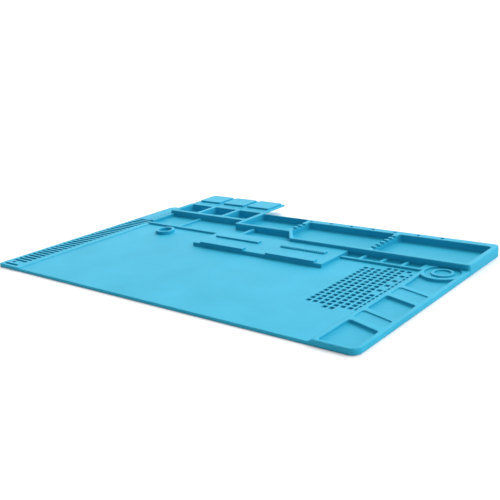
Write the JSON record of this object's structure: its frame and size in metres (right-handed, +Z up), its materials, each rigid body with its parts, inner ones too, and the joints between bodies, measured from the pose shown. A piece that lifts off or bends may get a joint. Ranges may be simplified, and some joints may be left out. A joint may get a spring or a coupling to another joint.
{
  "type": "parts sorting mat",
  "caption": "Flat silicone repair mat with moulded parts trays, screw grid, comb slots, upright tool holes, embedded magnets and fold-over box lids.",
  "frame": {"origin": "on the resting plane, under the middle of the object's bounding box with the lids open", "axes": "+X to the user's right along the front edge, +Y to the back edge with the lids, +Z up"},
  "size_m": [0.45, 0.326, 0.0132],
  "materials": {
    "mat_silicone": "matte moulded silicone, fine grain",
    "lid_silicone": "matte moulded silicone, fine grain",
    "nickel": "satin nickel plate"
  },
  "bodies": {
    "mat": {"box_left": "mat_silicone", "box_middle": "mat_silicone", "box_right": "mat_silicone", "column_ramp": "mat_silicone", "comb_magnets": "nickel", "comb_strip": "mat_silicone", "corner_tray_divider": "mat_silicone", "corner_tray_floor": "mat_silicone", "corner_tray_side_wall": "mat_silicone", "driver_tray": "mat_silicone", "front_deep_bin": "mat_silicone", "front_left_rib": "mat_silicone", "front_right_rib": "mat_silicone", "front_shallow_bin": "mat_silicone", "grid_magnets": "nickel", "lid_hinges": "mat_silicone", "long_tray_end": "mat_silicone", "long_tray_floor": "mat_silicone", "low_front_rim": "mat_silicone", "middle_deep_bin": "mat_silicone", "notched_divider_left": "mat_silicone", "notched_divider_right": "mat_silicone", "platform": "mat_silicone", "pocket_ring": "mat_silicone", "rear_bin_block": "mat_silicone", "rear_left_rib": "mat_silicone", "rear_rail": "mat_silicone", "rear_shallow_bin": "mat_silicone", "rest_tray_floor": "mat_silicone", "ruler_rib": "mat_silicone", "screw_grid": "mat_silicone", "small_bin_row": "mat_silicone", "spool_tray": "mat_silicone", "standing_ring": "mat_silicone", "tip_sockets": "mat_silicone", "tweezer_tray": "mat_silicone", "work_sheet": "mat_silicone"},
    "lid_left": {"lid_left_flap": "lid_silicone", "lid_left_plug": "lid_silicone"},
    "lid_middle": {"lid_middle_flap": "lid_silicone", "lid_middle_plug": "lid_silicone"},
    "lid_right": {"lid_right_flap": "lid_silicone", "lid_right_plug": "lid_silicone"}
  },
  "joints": [
    {"name": "lid_left_hinge", "type": "hinge", "parent": "mat", "child": "lid_left", "pos_m": [-0.17165, 0.122, 0.01115], "axis": [1, 0, 0], "range_deg": [0, 180]},
    {"name": "lid_middle_hinge", "type": "hinge", "parent": "mat", "child": "lid_middle", "pos_m": [-0.13125, 0.122, 0.01115], "axis": [1, 0, 0], "range_deg": [0, 180]},
    {"name": "lid_right_hinge", "type": "hinge", "parent": "mat", "child": "lid_right", "pos_m": [-0.09085, 0.122, 0.01115], "axis": [1, 0, 0], "range_deg": [0, 180]}
  ]
}
